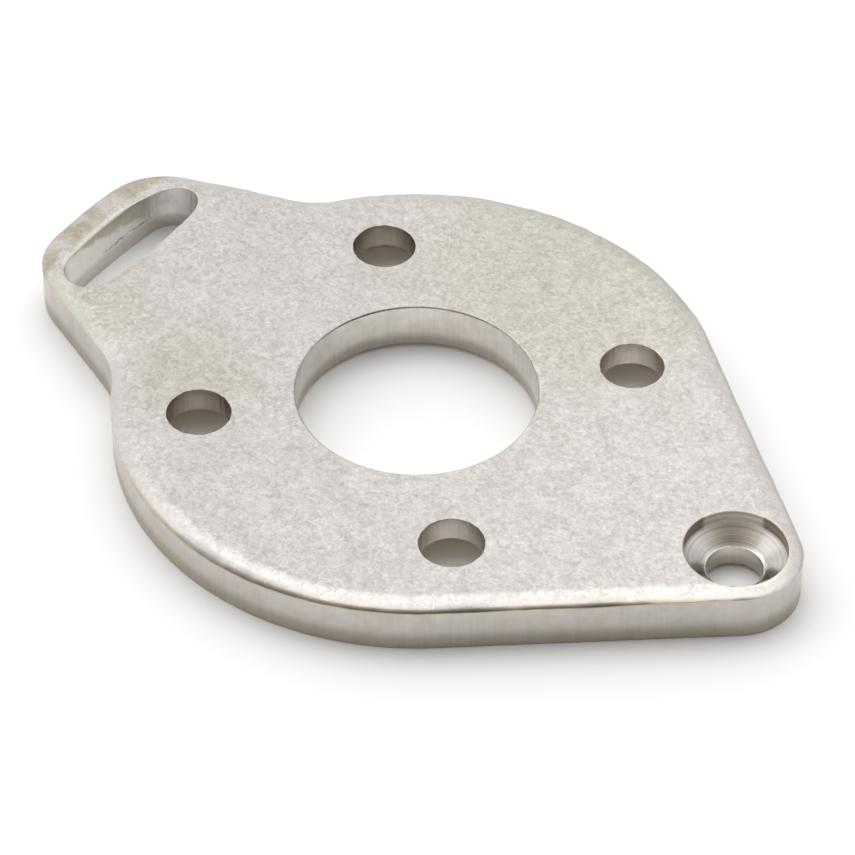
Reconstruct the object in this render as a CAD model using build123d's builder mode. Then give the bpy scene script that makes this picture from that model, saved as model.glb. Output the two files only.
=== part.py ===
"""Motor mounting bracket: one flat steel plate, blanked, drilled and plated.

A round plate carries a motor on four screws. The screws come up from the
underside, where their heads sink flush, and the motor's boss or shaft passes
through the large bore. The plate swings about a screw in the drilled recess at
one end and is locked through the curved slot in the ear at the other end, so
that a belt or a gear mesh can be set.

Millimetres. The origin is the bore's centre on the underside, +Z is up through
the plate, and +X points at the pivot hole.
"""

from build123d import *
from math import acos, cos, degrees, hypot, radians, sin, tan
import os

# ---- driving dimensions -----------------------------------------------------

# the plate
plate_thickness = 5.55
disc_radius = 31.4

# the bore and the motor's screws
bore_diameter = 25.0
bolt_circle_diameter = 45.0
bolt_count = 4
bolt_start_angle = 45.0
bolt_hole_diameter = 6.6
bolt_head_diameter = 12.3
bolt_head_angle = 90.0

# the pivot: a through hole below a recess left by a larger drill
pivot_distance = 39.0
pivot_hole_diameter = 5.8
recess_diameter = 10.4
recess_depth = 1.4
recess_point_angle = 118.0
recess_rim = 1.5

# the slot and the ear round it, each swung round the bore by its own angle
slot_swing = 2.0
slot_distance = 38.8
slot_width = 6.6
slot_length = 19.2
ear_swing = 2.3
ear_side_wall = 2.3
ear_end_wall = 3.6
ear_splay = 20.9
ear_corner_radius = 8.0
neck_radius = 10.0

# the edges: the punch rolls the top edge over, tumbling breaks the others
roll_width = 1.35
roll_depth = 0.52
roll_top_radius = 4.5
roll_side_radius = 0.8
rim_break = 0.25
underside_break = 0.12
bore_chamfer = 0.5

# ---- derived places ---------------------------------------------------------

lobe_radius = recess_diameter / 2 + recess_rim
tangent_angle = degrees(acos((disc_radius - lobe_radius) / pivot_distance))

# the slot is an arc round the pivot
slot_middle_x = -slot_distance * cos(radians(slot_swing))
slot_middle_y = slot_distance * sin(radians(slot_swing))
slot_radius = hypot(pivot_distance - slot_middle_x, slot_middle_y)
slot_middle_angle = 180 - degrees(slot_middle_y / slot_radius)
slot_sweep = degrees((slot_length - slot_width) / slot_radius)

# the ear's end is round the pivot, as the slot is
ear_end_radius = slot_radius + slot_width / 2 + ear_end_wall
ear_half_width = slot_length / 2 + ear_side_wall
ear_slope = tan(radians(ear_splay))
ear_root_half_width = ear_half_width + slot_distance * ear_slope
ear_reach = slot_distance + slot_width / 2 + 2 * ear_end_wall
ear_tip_half_width = ear_half_width - (ear_reach - slot_distance) * ear_slope

recess_floor = plate_thickness - recess_depth
recess_cone_height = (recess_diameter - pivot_hole_diameter) / 2 / tan(radians(recess_point_angle / 2))

# ---- the outline ------------------------------------------------------------

# the ear: a tapered tongue, cut off by an arc round the pivot
with BuildSketch() as ear_outline:
    ear_corners = [
        Vector(-ear_reach, ear_tip_half_width),
        Vector(0, ear_root_half_width),
        Vector(0, -ear_root_half_width),
        Vector(-ear_reach, -ear_tip_half_width),
    ]
    with BuildLine():
        Polyline(*[corner.rotate(Axis.Z, -ear_swing) for corner in ear_corners], close=True)
    make_face()
    with Locations((pivot_distance, 0)):
        Circle(ear_end_radius, mode=Mode.INTERSECT)

# the disc and the small lobe round the pivot, joined by their common tangents
with BuildSketch() as plate_outline:
    disc_tangent = Vector(disc_radius, 0).rotate(Axis.Z, tangent_angle)
    lobe_tangent = Vector(lobe_radius, 0).rotate(Axis.Z, tangent_angle) + Vector(pivot_distance, 0)
    with BuildLine():
        CenterArc((0, 0), disc_radius, tangent_angle, 360 - 2 * tangent_angle)
        CenterArc((pivot_distance, 0), lobe_radius, -tangent_angle, 2 * tangent_angle)
        Line(disc_tangent, lobe_tangent)
        Line((disc_tangent.X, -disc_tangent.Y), (lobe_tangent.X, -lobe_tangent.Y))
    make_face()
    add(ear_outline.sketch)
    # from the ear's end inwards: two corners, then the two necks
    fillet(plate_outline.vertices().sort_by(Axis.X)[2:4], neck_radius)
    fillet(plate_outline.vertices().sort_by(Axis.X)[0:2], ear_corner_radius)

# ---- the plate --------------------------------------------------------------

with BuildPart() as bracket_plate:
    add(plate_outline.sketch)
    extrude(amount=plate_thickness)

    # the rolled top edge: a shallow slope, blended into the top and the side
    top_face = bracket_plate.faces().sort_by(Axis.Z)[-1]
    chamfer(top_face.edges(), length=roll_width, length2=roll_depth, reference=top_face)
    top_face = bracket_plate.faces().sort_by(Axis.Z)[-1]
    fillet(top_face.edges(), roll_top_radius)
    side_start = plate_thickness - roll_depth
    fillet(
        bracket_plate.edges().filter_by_position(Axis.Z, side_start - 1e-3, side_start + 1e-3),
        roll_side_radius,
    )
    chamfer(bracket_plate.faces().sort_by(Axis.Z)[0].edges(), underside_break)

    # the bore
    Hole(bore_diameter / 2)

    # the motor's screw holes, countersunk from the underside
    underside = Plane(origin=(0, 0, 0), x_dir=(1, 0, 0), z_dir=(0, 0, -1))
    with Locations(underside):
        with PolarLocations(bolt_circle_diameter / 2, bolt_count, start_angle=bolt_start_angle):
            CounterSinkHole(
                bolt_hole_diameter / 2,
                bolt_head_diameter / 2,
                counter_sink_angle=bolt_head_angle,
            )

    # the curved slot
    with BuildSketch() as slot_outline:
        with BuildLine(mode=Mode.PRIVATE) as slot_line:
            CenterArc(
                (pivot_distance, 0),
                slot_radius,
                slot_middle_angle - slot_sweep / 2,
                slot_sweep,
            )
        SlotArc(slot_line.wire(), slot_width)
    extrude(amount=plate_thickness, mode=Mode.SUBTRACT)
    slot_edges = bracket_plate.edges(Select.LAST).filter_by(Axis.Z, reverse=True)
    slot_rim = slot_edges.filter_by_position(Axis.Z, plate_thickness / 2, plate_thickness)

    # the rims of the slot, the bore and the screw holes, broken by tumbling
    chamfer(slot_rim, rim_break)
    top_face = bracket_plate.faces().group_by(Axis.Z)[-1].sort_by(SortBy.AREA)[-1]
    chamfer(top_face.inner_wires().edges(), rim_break)

    # the pivot hole: a drilled recess with the drill point's cone, and the shank's hole
    with BuildSketch(Plane.XZ) as pivot_profile:
        with BuildLine():
            Polyline(
                (pivot_distance, 0),
                (pivot_distance + pivot_hole_diameter / 2, 0),
                (pivot_distance + pivot_hole_diameter / 2, recess_floor - recess_cone_height),
                (pivot_distance + recess_diameter / 2, recess_floor),
                (pivot_distance + recess_diameter / 2, plate_thickness),
                (pivot_distance, plate_thickness),
                close=True,
            )
        make_face()
    revolve(axis=Axis((pivot_distance, 0, 0), (0, 0, 1)), mode=Mode.SUBTRACT)

    # on the underside only the bore and the pivot hole are chamfered
    underside_rims = bracket_plate.faces().sort_by(Axis.Z)[0].inner_wires().edges()
    on_the_axis = underside_rims.filter_by(lambda rim: abs(rim.center(CenterOf.BOUNDING_BOX).Y) < 1e-3)
    chamfer(on_the_axis, bore_chamfer)

bracket_plate.part.label = "bracket_plate"

os.makedirs("parts", exist_ok=True)
export_step(bracket_plate.part, "parts/bracket_plate.step")
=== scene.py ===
"""A motor mounting bracket, dressed: one flat steel plate, blanked, pierced, drilled, tumbled and plated.

Everything is in metres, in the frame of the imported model: the origin is the bore's centre on the
underside, +Z is out of the motor face and +X points at the pivot hole.
"""

import math

import bmesh
import bpy
from mathutils import Matrix, Vector, noise


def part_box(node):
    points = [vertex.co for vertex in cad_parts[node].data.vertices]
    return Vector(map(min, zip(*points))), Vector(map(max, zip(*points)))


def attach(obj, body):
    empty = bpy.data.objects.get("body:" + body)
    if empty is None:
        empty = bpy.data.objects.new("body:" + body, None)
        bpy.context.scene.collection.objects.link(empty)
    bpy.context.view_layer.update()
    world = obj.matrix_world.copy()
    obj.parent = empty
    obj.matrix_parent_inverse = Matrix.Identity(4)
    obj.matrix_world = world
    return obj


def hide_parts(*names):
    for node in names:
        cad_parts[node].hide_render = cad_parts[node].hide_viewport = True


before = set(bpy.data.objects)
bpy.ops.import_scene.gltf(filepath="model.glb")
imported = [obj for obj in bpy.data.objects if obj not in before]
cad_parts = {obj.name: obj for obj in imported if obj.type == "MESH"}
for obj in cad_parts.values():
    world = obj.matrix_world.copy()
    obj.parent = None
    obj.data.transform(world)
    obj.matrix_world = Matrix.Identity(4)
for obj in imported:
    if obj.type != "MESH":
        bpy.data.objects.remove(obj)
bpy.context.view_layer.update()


# ---- the camera ----
# A long lens a little under half a metre away, looking down past the pivot end at the plate,
# with the slotted ear at the far left.

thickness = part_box("bracket_plate")[1].z

camera_azimuth = math.radians(36.0)
camera_elevation = math.radians(43.65)
camera_roll = math.radians(0.095)
camera_distance = 0.42558
camera_target = Vector((0.00428, -0.004013, thickness))

camera_data = bpy.data.cameras.new("camera")
camera_data.sensor_width = 36.0
camera_data.lens = 176.42
camera_data.clip_start = 0.01
camera_data.clip_end = 10.0
camera = bpy.data.objects.new("camera", camera_data)
bpy.context.scene.collection.objects.link(camera)
bpy.context.scene.camera = camera
camera_back = Vector((
    math.sin(camera_azimuth) * math.cos(camera_elevation),
    -math.cos(camera_azimuth) * math.cos(camera_elevation),
    math.sin(camera_elevation),
))
camera.location = camera_target + camera_back * camera_distance
camera.rotation_mode = "QUATERNION"
camera.rotation_quaternion = (
    (-camera_back).to_track_quat("-Z", "Y") @ Matrix.Rotation(camera_roll, 3, "Z").to_quaternion()
)


# ---- the table and the light ----
# A white table that runs out of sight, in a pale room. A large soft light hangs overhead, and
# the side behind the camera is darker, as a studio's open side is.

bpy.ops.mesh.primitive_plane_add(size=4.0, location=(0, 0, 0))
table = bpy.context.object
table.name = "table"
table_finish = bpy.data.materials.new("table_white")
table_finish.use_nodes = True
table_shader = table_finish.node_tree.nodes["Principled BSDF"]
table_shader.inputs["Base Color"].default_value = (0.975, 0.975, 0.975, 1)
table_shader.inputs["Roughness"].default_value = 0.6
table_shader.inputs["Specular IOR Level"].default_value = 0.0
table.data.materials.append(table_finish)

room = bpy.data.worlds.new("room")
bpy.context.scene.world = room
room.use_nodes = True
sky = room.node_tree
sky.nodes.clear()
world_out = sky.nodes.new("ShaderNodeOutputWorld")
direction = sky.nodes.new("ShaderNodeTexCoord").outputs["Generated"]


def step_math(tree, operation, *terms):
    """One step of arithmetic on values: each term is a number or a socket."""
    node = tree.nodes.new("ShaderNodeMath")
    node.operation = operation
    for socket, term in zip(node.inputs, terms):
        if isinstance(term, (int, float)):
            socket.default_value = term
        else:
            tree.links.new(term, socket)
    return node.outputs[0]


def product(tree, first, *others):
    """All the values multiplied."""
    for other in others:
        first = step_math(tree, "MULTIPLY", first, other)
    return first


def total(tree, first, *others):
    """All the values added."""
    for other in others:
        first = step_math(tree, "ADD", first, other)
    return first


def soft_step(tree, value, start, end, low=0.0, high=1.0):
    """A soft step from low to high as value goes from start to end."""
    ramp = tree.nodes.new("ShaderNodeMapRange")
    ramp.interpolation_type = "SMOOTHSTEP"
    for name, number in (("From Min", start), ("From Max", end), ("To Min", low), ("To Max", high)):
        ramp.inputs[name].default_value = number
    tree.links.new(value, ramp.inputs["Value"])
    return ramp.outputs["Result"]


def along_axis(tree, vector, axis):
    """How far a vector points along an axis."""
    dot = tree.nodes.new("ShaderNodeVectorMath")
    dot.operation = "DOT_PRODUCT"
    dot.inputs[1].default_value = axis
    tree.links.new(vector, dot.inputs[0])
    return dot.outputs["Value"]


bpy.context.scene.view_settings.view_transform = "Standard"
towards_far = Vector((-camera_back.x, -camera_back.y, 0)).normalized()
towards_side = Vector((towards_far.y, -towards_far.x, 0))

# far and side are places on a plane a unit above the plate: the lamp's bright core hangs over
# it, inside a wide weaker glow that is stronger on the left, and it is dim low on the right
up = step_math(sky, "MAXIMUM", along_axis(sky, direction, (0, 0, 1)), 0.02)
far = step_math(sky, "DIVIDE", along_axis(sky, direction, towards_far), up)
side = step_math(sky, "DIVIDE", along_axis(sky, direction, towards_side), up)
lamp_near = soft_step(sky, far, -0.07, 0.04)
core = product(
    sky, lamp_near,
    soft_step(sky, far, 0.55, 0.95, 0.62, 0.0),
    soft_step(sky, side, -0.6, -0.3),
    soft_step(sky, side, 0.25, 0.55, 1.0, 0.0),
)
glow = product(
    sky, lamp_near,
    soft_step(sky, far, 0.45, 0.95, 1.0, 0.0),
    soft_step(sky, side, -1.7, -1.3),
    soft_step(sky, side, 1.3, 1.7, 1.0, 0.0),
    soft_step(sky, side, -0.5, 0.5, 0.59, 0.13),
)
low_right = soft_step(sky, side, 1.2, 2.4, 0.0, -0.4)

# the room, pale beyond the plate and a little paler on the left, with a low fill light
# straight behind the camera
room_depth = soft_step(sky, along_axis(sky, direction, towards_far), -0.6, 0.25, 0.11, 1.44)
room_left = soft_step(sky, along_axis(sky, direction, -towards_side), -0.7, 0.7, -0.1, 0.1)
fill = soft_step(sky, along_axis(sky, direction, -towards_far), 0.6, 0.95, 0.0, 0.6)
room_level = total(sky, room_depth, room_left, fill, core, glow, low_right)

# the camera sees a plain white backdrop, and the plate and the table see the room
backdrop = sky.nodes.new("ShaderNodeBackground")
backdrop.inputs["Color"].default_value = (1, 1, 1, 1)
backdrop.inputs["Strength"].default_value = 1.0
dome = sky.nodes.new("ShaderNodeBackground")
dome.inputs["Color"].default_value = (1.0, 0.995, 0.985, 1)
sky.links.new(room_level, dome.inputs["Strength"])
seen_by = sky.nodes.new("ShaderNodeLightPath")
pick = sky.nodes.new("ShaderNodeMixShader")
sky.links.new(seen_by.outputs["Is Camera Ray"], pick.inputs["Fac"])
sky.links.new(dome.outputs["Background"], pick.inputs[1])
sky.links.new(backdrop.outputs["Background"], pick.inputs[2])
sky.links.new(pick.outputs["Shader"], world_out.inputs["Surface"])


# ---- the blank ----
# The plate's outline, punched out of thick steel sheet. The punch rolls the top edge over before
# it cuts, and the cut starts from a ragged line a little below the top face.

disc_radius = 0.0314
pivot = Vector((0.039, 0, 0))
lobe_radius = 0.0067
ear_distance = 0.0388
ear_half_width = 0.0119
ear_splay = math.radians(20.9)
ear_swing = math.radians(2.3)
ear_corner = 0.008
neck_radius = 0.010
slot_swing = math.radians(2.0)
slot_width = 0.0066
slot_length = 0.0192
ear_end_wall = 0.0036
outline_step = 0.0004

slot_middle = Matrix.Rotation(-slot_swing, 3, "Z") @ Vector((-ear_distance, 0, 0))
slot_radius = (slot_middle - pivot).length
ear_end_radius = slot_radius + slot_width / 2 + ear_end_wall


def pen_down(place):
    """A new mesh of one point, in edit mode, to draw an outline from."""
    bpy.ops.object.select_all(action="DESELECT")
    bpy.ops.mesh.primitive_plane_add(size=0.001, location=(0, 0, 0))
    bpy.ops.object.mode_set(mode="EDIT")
    bpy.ops.mesh.select_mode(type="VERT")
    bpy.ops.mesh.merge(type="CENTER")
    bpy.ops.transform.translate(value=place)
    return Vector(place)


def draw_line(place, end, step=outline_step):
    """Extrudes the last point to end, in short equal stretches."""
    count = max(1, round((end - place).length / step))
    for _ in range(count):
        bpy.ops.mesh.extrude_region_move(
            TRANSFORM_OT_translate={"value": (end - place) / count}
        )
    return end


def draw_arc(place, centre, end, step=outline_step):
    """Spins the last point about an upright axis, the short way round to end (spin turns clockwise)."""
    first, last = place - centre, end - centre
    turn = math.atan2(first.x * last.y - first.y * last.x, first.x * last.x + first.y * last.y)
    count = max(1, round(abs(turn) * first.length / step))
    bpy.ops.mesh.spin(steps=count, angle=-turn, center=centre, axis=(0, 0, 1))
    return end


def beside_line(start, along, offset, centre, reach):
    """The point offset to the side of a line, as far along it as lies at reach from centre."""
    side = Vector((-along.y, along.x, 0))
    base = start + side * offset - centre
    half = base.dot(along)
    return centre + base + along * (-half + math.sqrt(half**2 - base.length_squared + reach**2))


def ear_side(hand):
    """Both ends of the neck's arc and of the corner's arc, with their centres, on one side."""
    turn = Matrix.Rotation(-ear_swing, 3, "Z")
    root = turn @ Vector((-ear_distance, hand * ear_half_width, 0))
    along = turn @ Vector((-math.cos(ear_splay), -hand * math.sin(ear_splay), 0))
    out = Vector((-along.y, along.x, 0)) * -hand
    neck = beside_line(root, along, -hand * neck_radius, Vector(), disc_radius + neck_radius)
    corner = beside_line(root, along, hand * ear_corner, pivot, ear_end_radius - ear_corner)
    return {
        "disc": neck.normalized() * disc_radius,
        "neck": neck,
        "neck_end": neck - out * neck_radius,
        "corner_start": corner + out * ear_corner,
        "corner": corner,
        "end": pivot + (corner - pivot).normalized() * ear_end_radius,
    }


tangent_angle = math.acos((disc_radius - lobe_radius) / pivot.x)
tangent = Vector((math.cos(tangent_angle), math.sin(tangent_angle), 0))
mirrored = Vector((tangent.x, -tangent.y, 0))
upper, lower = ear_side(1), ear_side(-1)

# the roll's section, from the top face outwards and down to the crease: each arc is its first
# and last slope in degrees, and its radius
roll_arcs = ((0, 8, 0.0040), (8, 20, 0.0060), (20, 40, 0.0014))
arc_points = 7


def roll_section():
    """Points of the section as (distance in from the outline, depth), from the top face outwards."""
    section = [(0.0, 0.0)]
    for first, last, radius in roll_arcs:
        start, turn = math.radians(first), math.radians(last - first) / arc_points
        along, down = section[-1]
        for step in range(1, arc_points + 1):
            angle = start + turn * step
            section.append((
                along + radius * (math.sin(angle) - math.sin(start)),
                down + radius * (math.cos(start) - math.cos(angle)),
            ))
    width = section[-1][0]
    return [(width - along, down) for along, down in section]


# the outline is drawn once round at the foot of the roll
section = roll_section()
crease_depth = section[-1][1]
place = pen_down(pivot + mirrored * lobe_radius + Vector((0, 0, thickness - crease_depth)))
level = Vector((0, 0, place.z))
place = draw_arc(place, pivot + level, pivot + tangent * lobe_radius + level)
place = draw_line(place, tangent * disc_radius + level)
place = draw_arc(place, level, upper["disc"] + level)
place = draw_arc(place, upper["neck"] + level, upper["neck_end"] + level)
place = draw_line(place, upper["corner_start"] + level)
place = draw_arc(place, upper["corner"] + level, upper["end"] + level)
place = draw_arc(place, pivot + level, lower["end"] + level)
place = draw_arc(place, lower["corner"] + level, lower["corner_start"] + level)
place = draw_line(place, lower["neck_end"] + level)
place = draw_arc(place, lower["neck"] + level, lower["disc"] + level)
place = draw_arc(place, level, mirrored * disc_radius + level)
place = draw_line(place, pivot + mirrored * lobe_radius + level)
bpy.ops.mesh.select_all(action="SELECT")
bpy.ops.mesh.remove_doubles(threshold=0.00002)
blank = bpy.context.object
blank.name = "blank"

# the wall goes down to the underside, whose edge is broken; the roll goes up to the top face.
# The first two rows of the wall, close together, are for the tear under the roll
underside_break = 0.00012
tear_rows = (0.00006, 0.00008)
wall_rows = 12
bpy.ops.mesh.select_all(action="SELECT")
wall_drop = (thickness - crease_depth - sum(tear_rows) - underside_break) / wall_rows
for drop in tear_rows + (wall_drop,) * wall_rows:
    bpy.ops.mesh.extrude_region_move(TRANSFORM_OT_translate={"value": (0, 0, -drop)})
bpy.ops.mesh.edge_face_add()
bpy.ops.mesh.select_all(action="DESELECT")
bpy.ops.mesh.select_mode(type="EDGE")
bpy.ops.mesh.select_non_manifold()
bpy.ops.mesh.edge_face_add()
bpy.ops.mesh.select_all(action="SELECT")
bpy.ops.mesh.normals_make_consistent(inside=False)
bpy.ops.mesh.select_mode(type="FACE")


def select_cap(upwards):
    """Selects the one large flat face that closes the blank above or below."""
    bpy.ops.mesh.select_all(action="DESELECT")
    mesh = bmesh.from_edit_mesh(bpy.context.object.data)
    largest = sorted(mesh.faces, key=lambda face: face.calc_area())[-2:]
    largest.sort(key=lambda face: face.calc_center_median().z)
    largest[1 if upwards else 0].select_set(True)
    bmesh.update_edit_mesh(bpy.context.object.data)


select_cap(upwards=False)
for step in range(3):
    first, last = math.radians(30 * step), math.radians(30 * step + 30)
    bpy.ops.mesh.inset(
        thickness=underside_break * (math.cos(first) - math.cos(last)),
        depth=underside_break * (math.sin(last) - math.sin(first)),
    )
select_cap(upwards=True)
for (outer, low), (inner, high) in zip(section[::-1], section[-2::-1]):
    bpy.ops.mesh.inset(thickness=inner - outer, depth=low - high)
bpy.ops.object.mode_set(mode="OBJECT")


def clamped(value, low=0.0, high=1.0):
    """The value, held between low and high."""
    return max(low, min(high, value))


def wander(place, pitch, seed):
    """Smooth noise along the outline, about -1 to 1, with bumps about as long as pitch."""
    return noise.noise(Vector((place.x / pitch, place.y / pitch, seed)))


# the crease under the roll wanders up and down, and the metal has torn a fine groove along it
crease_rise = 0.00012
crease_dip = 0.0003
dip_place = Vector((-0.004, -0.031))
dip_reach = 0.013


def crease_shift(place):
    """How much the crease stands above its usual height: up at the pivot, and down at the front left."""
    rise = clamped((place.x - 0.024) / 0.018) if place.y < 0 else 0.0
    dip = max(0.0, 1 - (place.xy - dip_place).length / dip_reach)
    ripple = 0.00014 * wander(place, 0.006, 1.0) + 0.00008 * wander(place, 0.0015, 5.0)
    return crease_rise * rise - crease_dip * dip + ripple


# the tear runs round the front, between these angles from +X
tear_start = -128
tear_end = -8


def tear_share(place):
    """How fully the metal has torn under the roll, 0 to 1: along the front, not at the left or behind."""
    around = math.degrees(math.atan2(place.y, place.x))
    return clamped((around - tear_start) / 14) * clamped((tear_end - around) / 5)


crease_height = thickness - crease_depth
tear_height = crease_height - tear_rows[0]
tear_gape = 0.00007
for vertex in blank.data.vertices:
    place = vertex.co
    depth = thickness - place.z
    # all of the wander at the crease, and none on the top face or low on the wall
    share = min(clamped((depth - 0.0002) / 0.0004), clamped((0.0022 - depth) / 0.001))
    if share == 0.0:
        continue
    if abs(place.z - tear_height) < 0.00001:
        gape = 0.45 + 0.9 * wander(place, 0.0045, 3.0) + 0.5 * wander(place, 0.0012, 8.0)
        inwards = Vector((-vertex.normal.x, -vertex.normal.y, 0)).normalized()
        place += inwards * tear_gape * tear_share(place) * clamped(gape)
    place.z += share * crease_shift(place)


# ---- the holes ----
# Each hole is cut with the tool that makes it: turned punches for the bore and the screw holes,
# a countersink from beneath, a curved punch for the slot and a large drill for the pivot's recess.

bore_radius = 0.0125
bolt_circle = 0.0225
bolt_hole_radius = 0.0033
bolt_head_radius = 0.00615
rim_break = 0.00025
bore_chamfer = 0.0005
pivot_hole_radius = 0.0029
recess_radius = 0.0052
recess_depth = 0.0014
recess_point = math.radians(59)

# how far each tool stands out past the faces it cuts through
above = 0.0005


def turned_tool(name, section, centre, steps):
    """A closed solid of revolution: section is (radius, height) from the top axis to the bottom axis."""
    place = pen_down(Vector((centre.x, centre.y, section[0][1])))
    for radius, height in section[1:]:
        end = Vector((centre.x + radius, centre.y, height))
        place = draw_line(place, end, step=1.0)
    bpy.ops.mesh.select_all(action="SELECT")
    bpy.ops.mesh.spin(steps=steps, angle=math.radians(360), center=centre, axis=(0, 0, 1))
    bpy.ops.mesh.select_all(action="SELECT")
    bpy.ops.mesh.remove_doubles(threshold=0.000002)
    bpy.ops.mesh.normals_make_consistent(inside=False)
    bpy.ops.object.mode_set(mode="OBJECT")
    tool = bpy.context.object
    tool.name = name
    return tool


def cut(tool):
    """Takes the tool's shape out of the plate."""
    bpy.ops.object.select_all(action="DESELECT")
    bpy.context.view_layer.objects.active = blank
    blank.select_set(True)
    modifier = blank.modifiers.new("cut", "BOOLEAN")
    modifier.operation = "DIFFERENCE"
    modifier.solver = "EXACT"
    modifier.object = tool
    bpy.ops.object.modifier_apply(modifier=modifier.name)
    bpy.data.objects.remove(tool)


def eased_rim(radius, top, rim):
    """The section's points round a broken rim, from above the face down to the straight wall."""
    points = [(radius + rim * 1.6, top + above)]
    for step in range(5):
        angle = math.radians(10 + 20 * step)
        points.append((radius + rim * (1 - math.sin(angle)), top - rim * (1 - math.cos(angle))))
    return points


def through_hole(radius, height):
    """The rest of a section: a straight wall from height down to the chamfer on the underside."""
    return [
        (radius, height),
        (radius, bore_chamfer),
        (radius + bore_chamfer + above, -above),
        (0, -above),
    ]


bore_section = [(0, thickness + above)] + eased_rim(bore_radius, thickness, rim_break)
bore_section += through_hole(bore_radius, thickness / 2)
cut(turned_tool("bore_drill", bore_section, Vector((0, 0, 0)), 240))

countersink_depth = bolt_head_radius - bolt_hole_radius
bolt_rim_break = 0.00012
bolt_section = [(0, thickness + above)] + eased_rim(bolt_hole_radius, thickness, bolt_rim_break) + [
    (bolt_hole_radius, countersink_depth),
    (bolt_head_radius + above, -above),
    (0, -above),
]
bolt_centres = [
    Matrix.Rotation(math.radians(45 + 90 * corner), 3, "Z") @ Vector((bolt_circle, 0, 0))
    for corner in range(4)
]
for number, centre in enumerate(bolt_centres, 1):
    cut(turned_tool(f"bolt_drill_{number}", bolt_section, centre, 144))

recess_floor = thickness - recess_depth
cone_foot = recess_floor - (recess_radius - pivot_hole_radius) / math.tan(recess_point)
recess_rim_break = 0.00012
drill_section = [(0, thickness + above)] + eased_rim(recess_radius, thickness, recess_rim_break) + [
    (recess_radius, recess_floor),
]

# the drill's lips leave rings in the cone, one out and the next in
drill_rings = (0.07, 0.16, 0.22, 0.31, 0.42, 0.49, 0.57, 0.69, 0.76, 0.83, 0.93)
bulge = 0.000005
for share in drill_rings:
    radius = recess_radius + (pivot_hole_radius - recess_radius) * share
    height = recess_floor + (cone_foot - recess_floor) * share
    drill_section.append((radius + bulge * math.cos(recess_point), height - bulge * math.sin(recess_point)))
    bulge = -bulge
drill_section += through_hole(pivot_hole_radius, cone_foot)
cut(turned_tool("pivot_drill", drill_section, pivot, 160))

slot_half_turn = (slot_length - slot_width) / slot_radius / 2


def slot_tool(name, levels, step=0.0002):
    """A curved punch: levels are (how far it stands out past the slot, height), from the top down."""
    reach = slot_width / 2 + levels[0][0]
    height = Vector((0, 0, levels[0][1]))
    ends = [
        pivot + Matrix.Rotation(turn, 3, "Z") @ (slot_middle - pivot)
        for turn in (-slot_half_turn, slot_half_turn)
    ]
    outwards = [(end - pivot).normalized() * reach for end in ends]
    tips = [
        ends[0] + (ends[0] - ends[1]).normalized() * reach,
        ends[1] + (ends[1] - ends[0]).normalized() * reach,
    ]
    place = pen_down(ends[0] + outwards[0] + height)
    place = draw_arc(place, pivot + height, ends[1] + outwards[1] + height, step)
    place = draw_arc(place, ends[1] + height, tips[1] + height, step)
    place = draw_arc(place, ends[1] + height, ends[1] - outwards[1] + height, step)
    place = draw_arc(place, pivot + height, ends[0] - outwards[0] + height, step)
    place = draw_arc(place, ends[0] + height, tips[0] + height, step)
    place = draw_arc(place, ends[0] + height, ends[0] + outwards[0] + height, step)
    bpy.ops.mesh.select_all(action="SELECT")
    bpy.ops.mesh.remove_doubles(threshold=0.00002)
    bpy.ops.mesh.select_all(action="SELECT")
    bpy.ops.mesh.edge_face_add()
    tool = bpy.context.object
    tool.name = name
    bpy.ops.object.mode_set(mode="OBJECT")
    faces_up = tool.data.polygons[0].normal.z > 0
    bpy.ops.object.mode_set(mode="EDIT")
    bpy.ops.mesh.select_all(action="SELECT")
    if faces_up:
        bpy.ops.mesh.flip_normals()
    for (wide, high), (narrow, low) in zip(levels, levels[1:]):
        bpy.ops.mesh.inset(thickness=wide - narrow, depth=high - low)
    bpy.ops.mesh.select_all(action="DESELECT")
    bpy.ops.mesh.select_non_manifold()
    bpy.ops.mesh.edge_face_add()
    bpy.ops.mesh.select_all(action="SELECT")
    bpy.ops.mesh.normals_make_consistent(inside=False)
    bpy.ops.object.mode_set(mode="OBJECT")
    return tool


# the punch rounds the slot's rim over, most on the ear's end side, and the wall tears from a
# ragged line below its middle, and leans in by slot_step below that line
slot_rim = 0.0008
slot_rim_depth = 0.00038
slot_step = 0.0003
tear_line = 0.0019
tear_band = 0.0003
tear_reach = 0.0011
slot_tear_gape = 0.0002
slot_levels = [(slot_rim * 1.2, thickness + above)]
for step in range(8):
    angle = math.radians(10 + 80 * step / 7)
    slot_levels.append((
        slot_rim * (1 - math.sin(angle)),
        thickness - slot_rim_depth * (1 - math.cos(angle)),
    ))
wall_levels = (0.0032, 0.0026, 0.0022, 0.00205, tear_line, 0.00182, 0.0017, 0.0014, 0.0009, 0.0004)
for height in wall_levels + (-above,):
    slot_levels.append((0, height))


def slot_gape(place, along):
    """How far the torn line stands open, 0 to 1: it is closed towards the slot's ends."""
    stretch = clamped((along + 0.12) / 0.15) * clamped((0.85 - along) / 0.35)
    lumps = 0.9 * wander(place, 0.003, 4.0) + 0.5 * wander(place, 0.0008, 6.0)
    return stretch * clamped(0.6 + lumps)


def line_shift(place):
    """How much the torn line of the slot's wall stands above its usual height."""
    return 0.00035 * wander(place, 0.005, 2.0) + 0.0003 * wander(place, 0.0009, 7.0)


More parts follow.
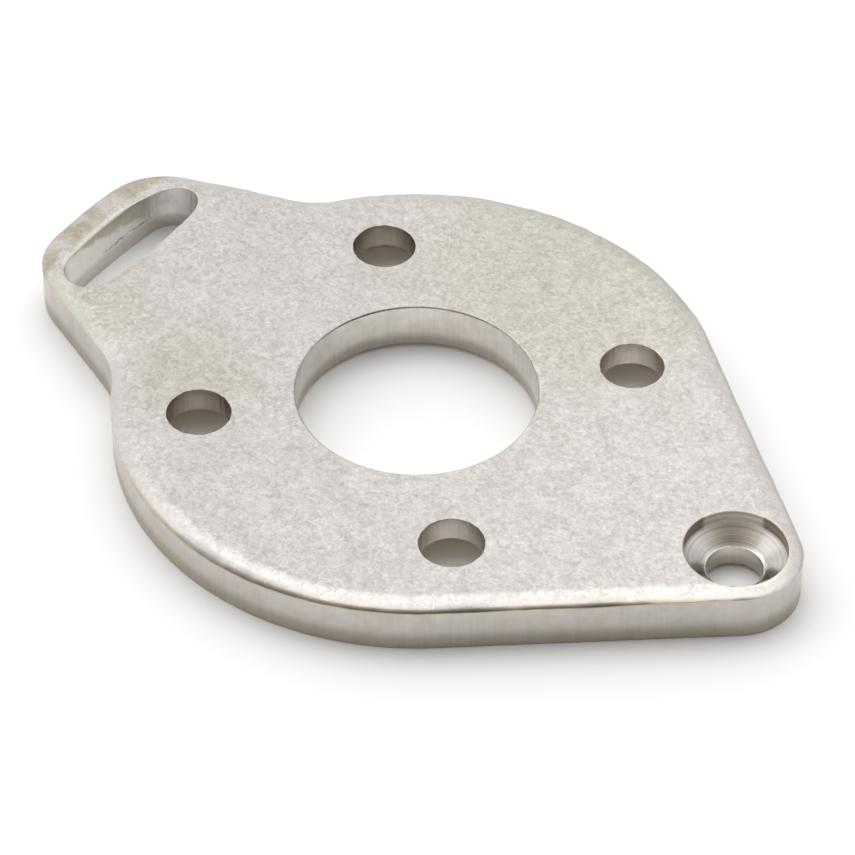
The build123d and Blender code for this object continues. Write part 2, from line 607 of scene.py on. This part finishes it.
slot_punch = slot_tool("slot_punch", slot_levels)
slot_heading = slot_middle - pivot
for vertex in slot_punch.data.vertices:
    place = vertex.co
    reach = place.xy - pivot.xy
    turn = math.atan2(slot_heading.x * reach.y - slot_heading.y * reach.x, slot_heading.xy.dot(reach))
    along = -turn / (slot_length / 2 / slot_radius)
    outwards = Vector((reach.x, reach.y, 0)).normalized()
    end_side = clamped((reach.length - slot_radius) / (slot_width / 2))
    if place.z > thickness - slot_rim_depth - 0.00001:
        # ease draws the rim back to the plain hole's edge, where it isn't rounded over
        ease = 1 - end_side * clamped((0.6 - along) / 0.5) * (0.85 + 0.3 * wander(place, 0.004, 9.0))
        ease = clamped(ease, 0.0, 0.95)
        swing = Matrix.Rotation(-slot_half_turn * clamped(along, -1.0, 1.0), 3, "Z")
        middle = pivot + swing @ slot_heading
        rim_out = Vector((place.x - middle.x, place.y - middle.y, 0))
        spare = max(0.0, rim_out.length - slot_width / 2)
        place -= rim_out.normalized() * spare * ease
        if place.z < thickness:
            place.z += (thickness - place.z) * ease
        continue
    place -= outwards * slot_step * end_side * clamped((tear_line + tear_band - place.z) / 0.0015)
    near_line = max(0.0, 1 - abs(place.z - tear_line) / tear_reach)
    if abs(place.z - tear_line) < 0.00002:
        place += outwards * slot_tear_gape * end_side * slot_gape(place, along)
    place.z += near_line * line_shift(place)
cut(slot_punch)


# ---- the finish ----
# Bright nickel on the tumbled steel: dull, speckled and finely scratched on the faces, streaked
# on the punched walls, brownish and darker along the torn lines, where painted shade darkens the
# groove and the crack, and ringed where the drill cut it. The plate is one piece and rides on the one body.

plate = blank
plate.name = "plated_plate"
plate.data.materials.clear()

# the screw holes' rims are a little ragged; the attribute below is how near a point is to a wall's torn
# line, along which the finishes paint dark bands of painted shade
stain_above = 0.00036
stain_below = 0.00014
crack_width = 0.00016
tear_shade = plate.data.attributes.new("tear_shade", "FLOAT", "POINT")
for vertex in plate.data.vertices:
    place = vertex.co
    for centre in bolt_centres:
        from_bolt = place.xy - centre.xy
        if from_bolt.length < bolt_hole_radius + 0.0003 and place.z > thickness - 0.0002:
            chip = 0.00005 * wander(place, 0.0007, 11.0) + 0.00004 * wander(place, 0.0003, 13.0)
            place += from_bolt.normalized().to_3d() * chip
    reach = (place.xy - pivot.xy).length
    if place.xy.length > disc_radius - 0.0008 and thickness - 0.0018 < place.z < thickness - 0.0003:
        above_line = place.z - tear_height - crease_shift(place)
        spread = stain_above if above_line > 0 else stain_below
        tear_shade.data[vertex.index].value = tear_share(place) * max(0.0, 1 - abs(above_line) / spread)
    if abs(reach - slot_radius - slot_width / 2) < 0.0005 and place.z < 0.0030:
        off_line = abs(place.z - tear_line - line_shift(place))
        along = (place.y - slot_middle.y) / (slot_length / 2)
        tear_shade.data[vertex.index].value = slot_gape(place, along) * max(0.0, 1 - off_line / crack_width)


def node_group(name, outputs):
    """A shader node group with a Vector in and the named values out."""
    group = bpy.data.node_groups.new(name, "ShaderNodeTree")
    group.interface.new_socket("Vector", in_out="INPUT", socket_type="NodeSocketVector")
    for output in outputs:
        group.interface.new_socket(output, in_out="OUTPUT", socket_type="NodeSocketFloat")
    place_in = group.nodes.new("NodeGroupInput").outputs["Vector"]
    return group, place_in, group.nodes.new("NodeGroupOutput").inputs


def spots(tree, vector, scale, detail=2.0, roughness=0.5):
    """Soft noise from 0 to 1, with scale lumps in a metre."""
    texture = tree.nodes.new("ShaderNodeTexNoise")
    texture.inputs["Scale"].default_value = scale
    texture.inputs["Detail"].default_value = detail
    texture.inputs["Roughness"].default_value = roughness
    tree.links.new(vector, texture.inputs["Vector"])
    return texture.outputs["Fac"]


def facets(tree, vector, scale):
    """A value from 0 to 1 for each cell of a ragged mosaic, with scale cells in a metre."""
    texture = tree.nodes.new("ShaderNodeTexNoise")
    texture.inputs["Scale"].default_value = scale
    tree.links.new(vector, texture.inputs["Vector"])
    shifted = tree.nodes.new("ShaderNodeVectorMath")
    shifted.operation = "MULTIPLY_ADD"
    shifted.inputs[1].default_value = (1.6 / scale, 1.6 / scale, 0)
    tree.links.new(texture.outputs["Color"], shifted.inputs[0])
    tree.links.new(vector, shifted.inputs[2])
    cell = tree.nodes.new("ShaderNodeTexVoronoi")
    cell.voronoi_dimensions = "2D"
    cell.inputs["Scale"].default_value = scale
    tree.links.new(shifted.outputs["Vector"], cell.inputs["Vector"])
    chance = tree.nodes.new("ShaderNodeSeparateColor")
    tree.links.new(cell.outputs["Color"], chance.inputs["Color"])
    return chance.outputs["Red"]


def stretched(tree, vector, scale):
    """The vector with each axis multiplied by its own number."""
    mapping = tree.nodes.new("ShaderNodeMapping")
    mapping.vector_type = "TEXTURE"
    mapping.inputs["Scale"].default_value = [1 / number for number in scale]
    tree.links.new(vector, mapping.inputs["Vector"])
    return mapping.outputs["Vector"]


def scratches(tree, vector, cells, length, width, shift):
    """Short straight scratches, one in each cell, each turned its own way."""
    moved = tree.nodes.new("ShaderNodeVectorMath")
    moved.operation = "MULTIPLY_ADD"
    moved.inputs[1].default_value = (cells, cells, cells)
    moved.inputs[2].default_value = (shift, shift * 0.7, 0)
    tree.links.new(vector, moved.inputs[0])
    cell = tree.nodes.new("ShaderNodeTexVoronoi")
    cell.voronoi_dimensions = "2D"
    cell.inputs["Scale"].default_value = 1.0
    tree.links.new(moved.outputs["Vector"], cell.inputs["Vector"])
    local = tree.nodes.new("ShaderNodeVectorMath")
    local.operation = "SUBTRACT"
    tree.links.new(moved.outputs["Vector"], local.inputs[0])
    tree.links.new(cell.outputs["Position"], local.inputs[1])
    chance = tree.nodes.new("ShaderNodeSeparateColor")
    tree.links.new(cell.outputs["Color"], chance.inputs["Color"])
    turned = tree.nodes.new("ShaderNodeVectorRotate")
    turned.rotation_type = "Z_AXIS"
    tree.links.new(local.outputs["Vector"], turned.inputs["Vector"])
    tree.links.new(step_math(tree, "MULTIPLY", chance.outputs["Red"], math.pi), turned.inputs["Angle"])
    parts = tree.nodes.new("ShaderNodeSeparateXYZ")
    tree.links.new(turned.outputs["Vector"], parts.inputs["Vector"])
    lengthwise = step_math(tree, "ABSOLUTE", parts.outputs["X"])
    across = step_math(tree, "ABSOLUTE", parts.outputs["Y"])
    return product(
        tree,
        soft_step(tree, lengthwise, length * 0.5, length, 1.0, 0.0),
        soft_step(tree, across, width * 0.3, width, 1.0, 0.0),
        soft_step(tree, chance.outputs["Green"], 0.2, 0.9),
    )


# the tumbled face: faint scratches, fine speckle and a few broad duller patches
tumbled, place_in, values_out = node_group("tumbled", ("Scratches", "Speckle", "Patches", "Height"))
coarse = scratches(tumbled, place_in, 520, 0.34, 0.05, 3.0)
fine = scratches(tumbled, place_in, 1100, 0.40, 0.11, 17.0)
lines = product(
    tumbled,
    step_math(tumbled, "MAXIMUM", product(tumbled, coarse, 0.8), fine),
    soft_step(tumbled, spots(tumbled, place_in, 130), 0.35, 0.7),
)
tumbled.links.new(lines, values_out["Scratches"])

# the speckle is grain and pits a few hundredths of a millimetre across, on a mosaic of dimples
grain = spots(tumbled, stretched(tumbled, place_in, (0.7, 1.0, 1.0)), 3800, 2.0, 0.7)
pits = spots(tumbled, stretched(tumbled, place_in, (1.0, 0.6, 1.0)), 1700, 3.0, 0.8)
dimples = total(tumbled, facets(tumbled, place_in, 2100), facets(tumbled, place_in, 4300))
dimples = product(tumbled, dimples, 0.5)
clouds = product(tumbled, spots(tumbled, place_in, 380), 0.7)
mean_speckle = 1.85
tumbled.links.new(total(tumbled, grain, pits, dimples, clouds, -mean_speckle), values_out["Speckle"])

# the patches lie behind the bore, by the slot and by the left screw hole: x, y and size
duller_patches = ((0.003, 0.024, 0.025), (-0.036, -0.009, 0.009), (-0.020, -0.012, 0.009))
broad = product(tumbled, spots(tumbled, place_in, 300, 3.0, 0.6), 0.5)
for patch_x, patch_y, size in duller_patches:
    offset = tumbled.nodes.new("ShaderNodeVectorMath")
    offset.operation = "DISTANCE"
    offset.inputs[1].default_value = (patch_x, patch_y, thickness)
    tumbled.links.new(place_in, offset.inputs[0])
    patch = soft_step(tumbled, offset.outputs["Value"], size * 0.2, size * 1.15, 0.31, 0.0)
    broad = total(tumbled, broad, patch)
tumbled.links.new(soft_step(tumbled, broad, 0.24, 0.58), values_out["Patches"])

dents = total(
    tumbled,
    spots(tumbled, place_in, 900),
    product(tumbled, spots(tumbled, place_in, 200, 1.0), 2.0),
    product(tumbled, grain, 0.5),
    product(tumbled, lines, -0.25),
)
tumbled.links.new(dents, values_out["Height"])

# a punched wall: streaks straight up and down it, and a darker band along its foot, partly the rough
# fracture and partly painted shade where the wall dims near the table
streaked, place_in, values_out = node_group("streaked", ("Streaks", "Blotches", "FractureShade", "Height"))
fine = spots(streaked, stretched(streaked, place_in, (1.0, 1.0, 0.06)), 2600, 2.0, 0.6)
wide = spots(streaked, stretched(streaked, place_in, (1.0, 1.0, 0.15)), 700, 2.0, 0.6)
streaked.links.new(total(streaked, fine, wide, -1.0), values_out["Streaks"])
blotches = spots(streaked, place_in, 450, 4.0, 0.7)
streaked.links.new(blotches, values_out["Blotches"])
foot = total(streaked, along_axis(streaked, place_in, (0, 0, 1)), product(streaked, blotches, 0.0012))
streaked.links.new(soft_step(streaked, foot, 0.0017, 0.0031, 1.0, 0.0), values_out["FractureShade"])
streaked.links.new(total(streaked, fine, wide, spots(streaked, place_in, 1200, 3.0)), values_out["Height"])


def new_finish(name, roughness, bump_height):
    """A metal on the plate: its tree, object coordinates, the shader's inputs and a bump's height."""
    material = bpy.data.materials.new(name)
    material.use_nodes = True
    tree = material.node_tree
    shader = tree.nodes["Principled BSDF"]
    shader.inputs["Metallic"].default_value = 1.0
    shader.inputs["Roughness"].default_value = roughness
    bump = tree.nodes.new("ShaderNodeBump")
    bump.inputs["Distance"].default_value = bump_height
    tree.links.new(bump.outputs["Normal"], shader.inputs["Normal"])
    plate.data.materials.append(material)
    return tree, tree.nodes.new("ShaderNodeTexCoord").outputs["Object"], shader.inputs, bump.inputs["Height"]


def use_group(tree, group, vector):
    """Puts a node group into a material, and gives its outputs."""
    node = tree.nodes.new("ShaderNodeGroup")
    node.node_tree = group
    tree.links.new(vector, node.inputs["Vector"])
    return node.outputs


def mixed(tree, share, first, second):
    """A colour from first to second: each is a colour or a socket."""
    mix = tree.nodes.new("ShaderNodeMix")
    mix.data_type = "RGBA"
    tree.links.new(share, mix.inputs["Factor"])
    for socket, colour in ((mix.inputs[6], first), (mix.inputs[7], second)):
        if isinstance(colour, tuple):
            socket.default_value = (*colour, 1)
        else:
            tree.links.new(colour, socket)
    return mix.outputs[2]


def brightened(tree, colour, value, low, high):
    """The colour multiplied by low where value is -0.5 and by high where it is 0.5."""
    factor = tree.nodes.new("ShaderNodeMapRange")
    factor.clamp = False
    for name, number in (("From Min", -0.5), ("From Max", 0.5), ("To Min", low), ("To Max", high)):
        factor.inputs[name].default_value = number
    tree.links.new(value, factor.inputs["Value"])
    scaled = tree.nodes.new("ShaderNodeVectorMath")
    scaled.operation = "SCALE"
    tree.links.new(colour, scaled.inputs[0])
    tree.links.new(factor.outputs["Result"], scaled.inputs["Scale"])
    return scaled.outputs["Vector"]


def axis_place(tree, vector, centre):
    """How far a point is from an upright axis, and its height."""
    flat = tree.nodes.new("ShaderNodeVectorMath")
    flat.operation = "MULTIPLY_ADD"
    flat.inputs[1].default_value = (1, 1, 0)
    flat.inputs[2].default_value = (-centre.x, -centre.y, 0)
    tree.links.new(vector, flat.inputs[0])
    reach = tree.nodes.new("ShaderNodeVectorMath")
    reach.operation = "LENGTH"
    tree.links.new(flat.outputs["Vector"], reach.inputs[0])
    return reach.outputs["Value"], along_axis(tree, vector, (0, 0, 1))


# the two faces and the roll between them and the wall
tree, place_in, metal, height = new_finish("nickel_face", 0.30, 0.00002)
marks = use_group(tree, tumbled, place_in)
colour = mixed(tree, marks["Patches"], (0.448, 0.425, 0.408), (0.392, 0.382, 0.338))
reach, level = axis_place(tree, place_in, pivot)
slot_edge = slot_radius + slot_width / 2
# painted shade: the ear's end band, where the rim slopes away, is painted darker and brownish in blotches
end_shade = product(
    tree,
    soft_step(tree, reach, slot_edge, slot_edge + 0.0012),
    soft_step(tree, spots(tree, place_in, 330, 3.0), 0.25, 0.6),
)
colour = mixed(tree, end_shade, colour, (0.32, 0.29, 0.225))
# painted light: the top is painted lighter towards the right and darker towards the left
sideways = along_axis(tree, place_in, towards_side)
colour = brightened(tree, colour, soft_step(tree, sideways, -0.02, 0.034, -0.5, 0.5), 0.955, 1.07)
flat = soft_step(tree, level, thickness - 0.0003, thickness - 0.00002, 0.4, 1.0)
colour = brightened(tree, colour, product(tree, marks["Speckle"], flat), 0.82, 1.18)
colour = mixed(tree, product(tree, marks["Scratches"], 0.42), colour, (0.68, 0.66, 0.64))
# the crease and the band just above it: the torn metal's brown tint, with painted shade of the groove and
# the roll's steep foot
crease_shade = tree.nodes.new("ShaderNodeAttribute")
crease_shade.attribute_name = "tear_shade"
colour = mixed(tree, soft_step(tree, crease_shade.outputs["Fac"], 0.05, 0.5), colour, (0.41, 0.365, 0.28))
colour = mixed(tree, soft_step(tree, crease_shade.outputs["Fac"], 0.6, 0.95), colour, (0.36, 0.315, 0.24))

# painted highlight: the slot's rim on the ear's end side, short of the slot's ends, is painted a pale,
# non-metal cream for light caught on its rounded edge
crosswise = along_axis(tree, place_in, (0, 1, 0))
slot_end = slot_middle.y + slot_length / 2
slot_start = slot_middle.y - slot_length / 2
rim_highlight = product(
    tree,
    soft_step(tree, level, thickness - 0.00012, thickness - 0.00003, 0.9, 0.0),
    soft_step(tree, crosswise, slot_end - 0.003, slot_end, 1.0, 0.0),
    soft_step(tree, crosswise, slot_start + 0.0012, slot_start + 0.0024),
    soft_step(tree, reach, slot_radius, slot_radius + 0.002),
    soft_step(tree, reach, slot_edge + 0.0007, slot_edge + 0.0009, 1.0, 0.0),
)
colour = mixed(tree, rim_highlight, colour, (0.80, 0.755, 0.64))
tree.links.new(step_math(tree, "SUBTRACT", 1.0, rim_highlight), metal["Metallic"])

# painted highlight: the recess's rim is painted lighter on the right
ring_start = pivot.dot(towards_side)
ring_highlight = product(
    tree,
    soft_step(tree, reach, recess_radius + 0.0001, recess_radius + 0.0005, 0.8, 0.0),
    soft_step(tree, sideways, ring_start - 0.001, ring_start + 0.004),
)
colour = mixed(tree, ring_highlight, colour, (0.56, 0.53, 0.47))
tree.links.new(colour, metal["Base Color"])
tree.links.new(soft_step(tree, marks["Patches"], 0.0, 1.0, 0.29, 0.36), metal["Roughness"])
tree.links.new(marks["Height"], height)

# the outer wall
tree, place_in, metal, height = new_finish("nickel_wall", 0.33, 0.00003)
marks = use_group(tree, streaked, place_in)
blotched = soft_step(tree, marks["Blotches"], 0.35, 0.7)
colour = mixed(tree, blotched, (0.600, 0.560, 0.532), (0.548, 0.506, 0.463))
# darker towards the foot: partly the rough fracture, partly painted shade
colour = mixed(tree, marks["FractureShade"], colour, (0.44, 0.395, 0.335))
colour = brightened(tree, colour, marks["Streaks"], 0.90, 1.10)
# painted shade: a ragged brownish band just under the crease's torn groove
crease_shade = tree.nodes.new("ShaderNodeAttribute")
crease_shade.attribute_name = "tear_shade"
tear_line_shade = product(tree, crease_shade.outputs["Fac"], soft_step(tree, marks["Blotches"], 0.2, 0.5, 0.6, 1.0))
colour = mixed(tree, tear_line_shade, colour, (0.48, 0.42, 0.325))
tree.links.new(colour, metal["Base Color"])
tree.links.new(marks["Height"], height)

# the walls of the bore and the screw holes, and the chamfers; the walls of the left and back screw holes, on
# the -X side, are darkened as painted shade
tree, place_in, metal, height = new_finish("nickel_bore", 0.32, 0.00003)
marks = use_group(tree, streaked, place_in)
blotched = soft_step(tree, marks["Blotches"], 0.35, 0.7)
colour = mixed(tree, blotched, (0.75, 0.71, 0.67), (0.66, 0.615, 0.555))
# darker towards the foot: partly the rough fracture, partly painted shade
colour = mixed(tree, marks["FractureShade"], colour, (0.49, 0.445, 0.385))
hole_shade = soft_step(tree, along_axis(tree, place_in, (1, 0, 0)), -0.0135, -0.0127, 0.75, 0.0)
colour = mixed(tree, hole_shade, colour, (0.36, 0.31, 0.26))
colour = brightened(tree, colour, marks["Streaks"], 0.88, 1.12)
tree.links.new(colour, metal["Base Color"])
tree.links.new(marks["Height"], height)

# the slot's wall: greyer, burnished dark above and rough below, torn along a ragged line that is painted
# near black as painted shade in the crack
tree, place_in, metal, height = new_finish("nickel_slot", 0.36, 0.00006)
marks = use_group(tree, streaked, place_in)
level = along_axis(tree, place_in, (0, 0, 1))
across = along_axis(tree, place_in, (0, 1, 0))
rising = total(tree, level, product(tree, marks["Blotches"], 0.003), product(tree, across, 0.25))
burnished = product(
    tree,
    soft_step(tree, rising, 0.0053, 0.0061),
    soft_step(tree, across, 0.0065, 0.0082, 1.0, 0.0),
)
colour = mixed(tree, soft_step(tree, level, 0.0012, 0.0021), (0.54, 0.515, 0.48), (0.74, 0.715, 0.69))
colour = mixed(tree, burnished, colour, (0.47, 0.44, 0.375))
colour = brightened(tree, colour, marks["Blotches"], 0.92, 1.12)
crack_shade = tree.nodes.new("ShaderNodeAttribute")
crack_shade.attribute_name = "tear_shade"
colour = mixed(tree, crack_shade.outputs["Fac"], colour, (0.12, 0.105, 0.08))
tree.links.new(colour, metal["Base Color"])
tree.links.new(marks["Height"], height)

# the pivot's recess, cut by the drill: ringed, with painted shade turning a wedge of the cone beyond the
# hole brownish, and dull on its short upright wall, which is painted pale beyond the hole as painted light
# and dark brown elsewhere as painted shade
tree, place_in, metal, height = new_finish("nickel_drilled", 0.18, 0.000006)
marks = use_group(tree, streaked, place_in)
reach, level = axis_place(tree, place_in, pivot)
rings = tree.nodes.new("ShaderNodeTexNoise")
rings.noise_dimensions = "1D"
rings.inputs["Scale"].default_value = 3600
rings.inputs["Detail"].default_value = 2.0
tree.links.new(total(tree, reach, product(tree, level, 0.4)), rings.inputs["W"])
colour = mixed(tree, marks["Blotches"], (0.415, 0.393, 0.377), (0.36, 0.332, 0.305))
past_pivot = total(tree, along_axis(tree, place_in, towards_far), -pivot.dot(towards_far))
off_pivot = total(tree, along_axis(tree, place_in, towards_side), -pivot.dot(towards_side))
wedge_slope = 0.7
inside = product(tree, past_pivot, wedge_slope)
inside = step_math(tree, "SUBTRACT", inside, step_math(tree, "ABSOLUTE", off_pivot))
shade_and_light_wedge = soft_step(tree, inside, -0.0003, 0.0004)
colour = mixed(tree, shade_and_light_wedge, colour, (0.46, 0.405, 0.345))
wall_light_and_shade = mixed(tree, shade_and_light_wedge, (0.40, 0.33, 0.27), (0.95, 0.88, 0.80))
on_wall = soft_step(tree, level, recess_floor - 0.0001, recess_floor + 0.0001)
colour = mixed(tree, on_wall, colour, wall_light_and_shade)
dullness = soft_step(tree, level, recess_floor - 0.0002, recess_floor, 0.15, 0.5)
shine = soft_step(tree, level, recess_floor - 0.0002, recess_floor + 0.0001, 1.0, 0.15)
tree.links.new(dullness, metal["Roughness"])
tree.links.new(shine, metal["Metallic"])
colour = brightened(tree, colour, total(tree, rings.outputs["Fac"], -0.5), 0.55, 1.45)
tree.links.new(colour, metal["Base Color"])
tree.links.new(rings.outputs["Fac"], height)

# the countersinks under the screw holes, warm and bright
tree, place_in, metal, height = new_finish("nickel_sunk", 0.35, 0.00002)
marks = use_group(tree, streaked, place_in)
blotched = soft_step(tree, marks["Blotches"], 0.35, 0.7)
colour = mixed(tree, blotched, (0.90, 0.82, 0.72), (0.84, 0.75, 0.63))
tree.links.new(colour, metal["Base Color"])
tree.links.new(marks["Blotches"], height)

# which finish each face takes
finish_number = {material.name: number for number, material in enumerate(plate.data.materials)}
for polygon in plate.data.polygons:
    place, normal = polygon.center, polygon.normal
    from_pivot = (place.xy - pivot.xy).length
    across_slot = abs(from_pivot - slot_radius)
    along_slot = abs(place.y - slot_middle.y)
    in_slot = across_slot < slot_width / 2 + 0.0004 and along_slot < slot_length / 2
    in_recess = pivot_hole_radius + 0.0001 < from_pivot < recess_radius + 0.0001
    by_bolt = abs(place.xy.length - bolt_circle) < bolt_head_radius
    on_outline = place.xy.length > disc_radius - 0.0025 and from_pivot > lobe_radius - 0.0025
    if in_recess and place.z > bore_chamfer + 0.0001:
        finish = "nickel_drilled"
    elif normal.z < -0.3 and 0.0001 < place.z < countersink_depth:
        finish = "nickel_sunk" if by_bolt else "nickel_bore"
    elif abs(normal.z) > 0.999 or (place.z > crease_height - 0.0003 and normal.z > 0.2):
        finish = "nickel_face"
    elif in_slot:
        finish = "nickel_slot"
    elif on_outline:
        finish = "nickel_wall"
    else:
        finish = "nickel_bore"
    polygon.material_index = finish_number[finish]

# smooth round the curves, and flat where the faces are
bpy.ops.object.select_all(action="DESELECT")
plate.select_set(True)
bpy.context.view_layer.objects.active = plate
bpy.ops.object.shade_smooth_by_angle(angle=math.radians(32))
modifier = plate.modifiers.new("flat_faces", "WEIGHTED_NORMAL")
modifier.mode = "FACE_AREA"
modifier.weight = 100
modifier.keep_sharp = True
bpy.ops.object.modifier_apply(modifier=modifier.name)

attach(plate, "root")
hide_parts("bracket_plate")
